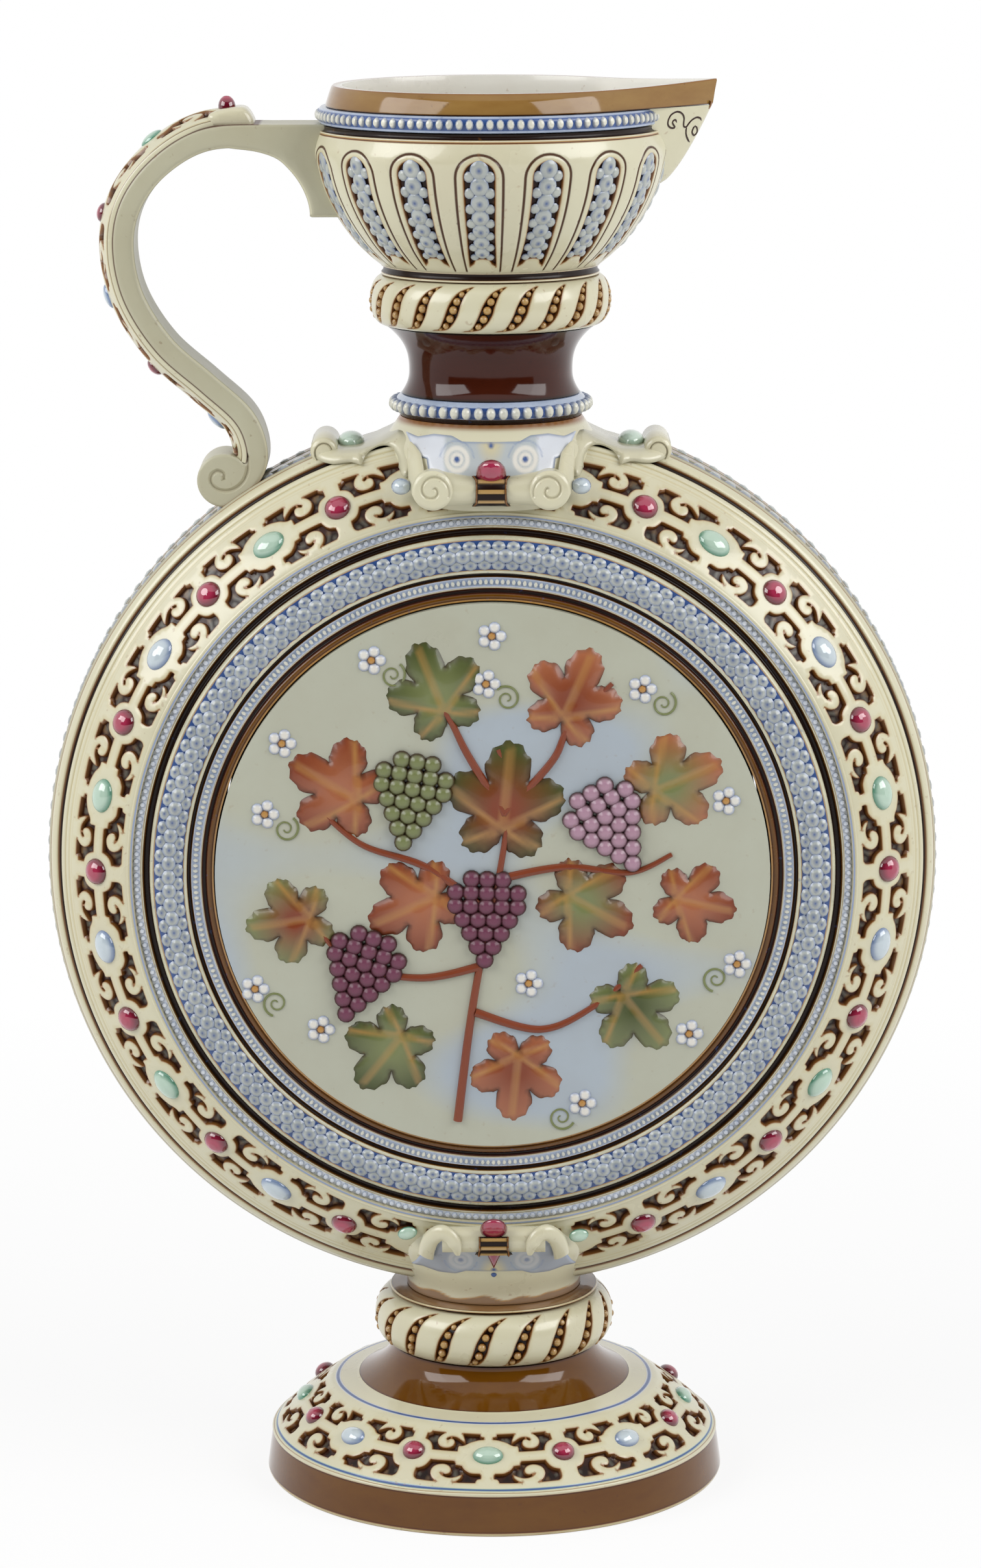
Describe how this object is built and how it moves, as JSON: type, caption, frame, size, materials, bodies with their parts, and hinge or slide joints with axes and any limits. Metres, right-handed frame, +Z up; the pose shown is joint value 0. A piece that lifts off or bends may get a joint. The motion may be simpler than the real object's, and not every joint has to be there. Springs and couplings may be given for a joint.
{
  "type": "stoneware wine jug",
  "caption": "Pilgrim-flask stoneware wine jug on a trumpet foot, with a panelled mouth bowl and spout, a scroll handle, strapwork borders and a framed medallion on each face.",
  "frame": {"origin": "middle of the ring that the foot stands on, on the floor plane, in the middle of the jug's bounding box", "axes": "+Z up, the pictured face towards -Y, the spout towards +X and the handle on the -X side"},
  "size_m": [0.304, 0.1586, 0.4816],
  "materials": {
    "cream_glaze": "satin",
    "stone_glaze": "satin",
    "brown_glaze": "gloss",
    "taupe_glaze": "gloss",
    "blue_glaze": "satin",
    "medallion_clay": "satin",
    "red_enamel": "gloss",
    "green_enamel": "gloss",
    "gold_enamel": "satin"
  },
  "bodies": {
    "root": {"foot": "cream_glaze", "foot_knop": "cream_glaze", "foot_saucer": "taupe_glaze", "lower_saddle": "cream_glaze", "rim_band": "blue_glaze", "upper_saddle": "cream_glaze", "flask_front": "cream_glaze", "flask_back": "cream_glaze", "front_frame": "blue_glaze", "back_frame": "blue_glaze", "front_medallion": "medallion_clay", "back_medallion": "medallion_clay", "upper_bolster_front": "cream_glaze", "upper_clasp_front": "gold_enamel", "upper_jewel_front": "red_enamel", "lower_bolster_front": "cream_glaze", "lower_clasp_front": "gold_enamel", "lower_jewel_front": "red_enamel", "upper_bolster_back": "cream_glaze", "upper_clasp_back": "gold_enamel", "upper_jewel_back": "red_enamel", "lower_bolster_back": "cream_glaze", "lower_clasp_back": "gold_enamel", "lower_jewel_back": "red_enamel", "neck_collar": "blue_glaze", "neck": "brown_glaze", "neck_knop": "cream_glaze", "mouth_bowl": "cream_glaze", "mouth_band": "blue_glaze", "mouth_lip": "taupe_glaze", "spout_apron": "cream_glaze", "handle": "stone_glaze", "handle_strap": "cream_glaze", "handle_boss": "cream_glaze", "left_shoulder_bead": "green_enamel", "right_shoulder_bead": "green_enamel"}
  },
  "joints": []
}
